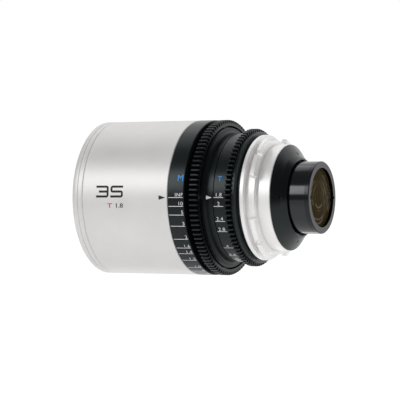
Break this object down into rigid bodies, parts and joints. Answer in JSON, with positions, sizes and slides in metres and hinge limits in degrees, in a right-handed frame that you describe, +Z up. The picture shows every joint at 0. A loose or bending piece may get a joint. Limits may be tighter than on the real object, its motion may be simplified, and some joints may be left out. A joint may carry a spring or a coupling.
{
  "type": "cinema prime lens",
  "caption": "Cylindrical cinema prime lens with toothed focus and iris rings, a lug mount with a spigot, and a stepped rear tube.",
  "frame": {"origin": "centre of the mount's flange seat on the optical axis", "axes": "+X along the optical axis to the camera, +Z up, and the index marks face -Y"},
  "size_m": [0.122, 0.08, 0.08],
  "materials": {
    "barrel_grey": "smooth satin light grey anodised coating",
    "ring_black": "satin black anodised, finely turned",
    "mount_steel": "fine turned stainless steel",
    "tube_gloss_black": "polished gloss black anodised",
    "inner_black": "matte black anodised",
    "brass": "turned brass or bronze",
    "screw_black": "black oxide coated steel",
    "screw_steel": "plain steel",
    "blade_steel": "matte black coated spring steel",
    "glass_amber": "polished glass with an amber anti-reflection coating",
    "glass_clear": "polished coated glass"
  },
  "bodies": {
    "housing": {"pl_mount": "mount_steel", "mount_shim": "brass", "mount_screws": "screw_steel", "filter_ring": "barrel_grey", "front_barrel": "barrel_grey", "barrel_lock_ring": "inner_black", "chassis": "inner_black", "cam_retaining_ring": "inner_black", "cam_front_bearing": "brass", "cam_rear_bearing": "brass", "focus_stop_pins": "screw_steel", "index_ring": "ring_black", "iris_retaining_ring": "ring_black", "rear_guide": "inner_black", "rear_shroud": "ring_black", "shroud_screws": "screw_black"},
    "focus_ring_body": {"focus_ring": "ring_black", "focus_gear_ring": "ring_black", "cam_barrel": "brass", "focus_screws": "screw_steel", "focus_stop_lug": "screw_steel"},
    "optical_block": {"optical_housing": "inner_black", "follower_pins": "screw_steel", "front_cell": "inner_black", "iris_plate": "inner_black", "rear_cell": "tube_gloss_black", "rear_end_ring": "tube_gloss_black", "front_element": "glass_clear", "front_spacer": "inner_black", "second_element": "glass_clear", "front_retaining_ring": "inner_black", "inner_retaining_ring": "inner_black", "third_element": "glass_clear", "long_spacer": "inner_black", "fourth_element": "glass_clear", "short_spacer": "inner_black", "rear_element": "glass_amber", "rear_spacer": "inner_black", "doublet_rear": "glass_clear", "doublet_front": "glass_clear", "doublet_retaining_ring": "inner_black"},
    "iris_ring_body": {"iris_ring": "ring_black", "iris_gear_ring": "ring_black"},
    "iris_drive": {"iris_drive_ring": "inner_black", "iris_post": "screw_steel"},
    "blade_1": {"iris_blade_1": "blade_steel"},
    "blade_2": {"iris_blade_2": "blade_steel"},
    "blade_3": {"iris_blade_3": "blade_steel"},
    "blade_4": {"iris_blade_4": "blade_steel"},
    "blade_5": {"iris_blade_5": "blade_steel"},
    "blade_6": {"iris_blade_6": "blade_steel"},
    "blade_7": {"iris_blade_7": "blade_steel"},
    "blade_8": {"iris_blade_8": "blade_steel"},
    "blade_9": {"iris_blade_9": "blade_steel"}
  },
  "joints": [
    {"name": "focus_turn", "type": "hinge", "parent": "housing", "child": "focus_ring_body", "pos_m": [0, 0, 0], "axis": [-1, 0, 0], "range_deg": [0, 90]},
    {"name": "focus_slide", "type": "slide", "parent": "housing", "child": "optical_block", "axis": [-1, 0, 0], "range_m": [0, 0.0017]},
    {"name": "iris_turn", "type": "hinge", "parent": "housing", "child": "iris_ring_body", "pos_m": [0, 0, 0], "axis": [-1, 0, 0], "range_deg": [0, 90]},
    {"name": "iris_drive_turn", "type": "hinge", "parent": "optical_block", "child": "iris_drive", "pos_m": [0, 0, 0], "axis": [-1, 0, 0], "range_deg": [0, 90]},
    {"name": "blade_1_turn", "type": "hinge", "parent": "optical_block", "child": "blade_1", "pos_m": [-0.0205, 0.0185, 0], "axis": [-1, 0, 0], "range_deg": [0, 28.2]},
    {"name": "blade_2_turn", "type": "hinge", "parent": "optical_block", "child": "blade_2", "pos_m": [-0.0205, 0.01417, -0.01189], "axis": [-1, 0, 0], "range_deg": [0, 28.2]},
    {"name": "blade_3_turn", "type": "hinge", "parent": "optical_block", "child": "blade_3", "pos_m": [-0.0205, 0.00321, -0.01822], "axis": [-1, 0, 0], "range_deg": [0, 28.2]},
    {"name": "blade_4_turn", "type": "hinge", "parent": "optical_block", "child": "blade_4", "pos_m": [-0.0205, -0.00925, -0.01602], "axis": [-1, 0, 0], "range_deg": [0, 28.2]},
    {"name": "blade_5_turn", "type": "hinge", "parent": "optical_block", "child": "blade_5", "pos_m": [-0.0205, -0.01738, -0.00633], "axis": [-1, 0, 0], "range_deg": [0, 28.2]},
    {"name": "blade_6_turn", "type": "hinge", "parent": "optical_block", "child": "blade_6", "pos_m": [-0.0205, -0.01738, 0.00633], "axis": [-1, 0, 0], "range_deg": [0, 28.2]},
    {"name": "blade_7_turn", "type": "hinge", "parent": "optical_block", "child": "blade_7", "pos_m": [-0.0205, -0.00925, 0.01602], "axis": [-1, 0, 0], "range_deg": [0, 28.2]},
    {"name": "blade_8_turn", "type": "hinge", "parent": "optical_block", "child": "blade_8", "pos_m": [-0.0205, 0.00321, 0.01822], "axis": [-1, 0, 0], "range_deg": [0, 28.2]},
    {"name": "blade_9_turn", "type": "hinge", "parent": "optical_block", "child": "blade_9", "pos_m": [-0.0205, 0.01417, 0.01189], "axis": [-1, 0, 0], "range_deg": [0, 28.2]}
  ],
  "couplings": [
    {"joint": "focus_slide", "follows": "focus_turn", "m_per_rad": 0.001082},
    {"joint": "iris_drive_turn", "follows": "iris_turn", "ratio": 1},
    {"joint": "blade_1_turn", "follows": "iris_turn", "ratio": 0.31284},
    {"joint": "blade_2_turn", "follows": "iris_turn", "ratio": 0.31284},
    {"joint": "blade_3_turn", "follows": "iris_turn", "ratio": 0.31284},
    {"joint": "blade_4_turn", "follows": "iris_turn", "ratio": 0.31284},
    {"joint": "blade_5_turn", "follows": "iris_turn", "ratio": 0.31284},
    {"joint": "blade_6_turn", "follows": "iris_turn", "ratio": 0.31284},
    {"joint": "blade_7_turn", "follows": "iris_turn", "ratio": 0.31284},
    {"joint": "blade_8_turn", "follows": "iris_turn", "ratio": 0.31284},
    {"joint": "blade_9_turn", "follows": "iris_turn", "ratio": 0.31284}
  ]
}
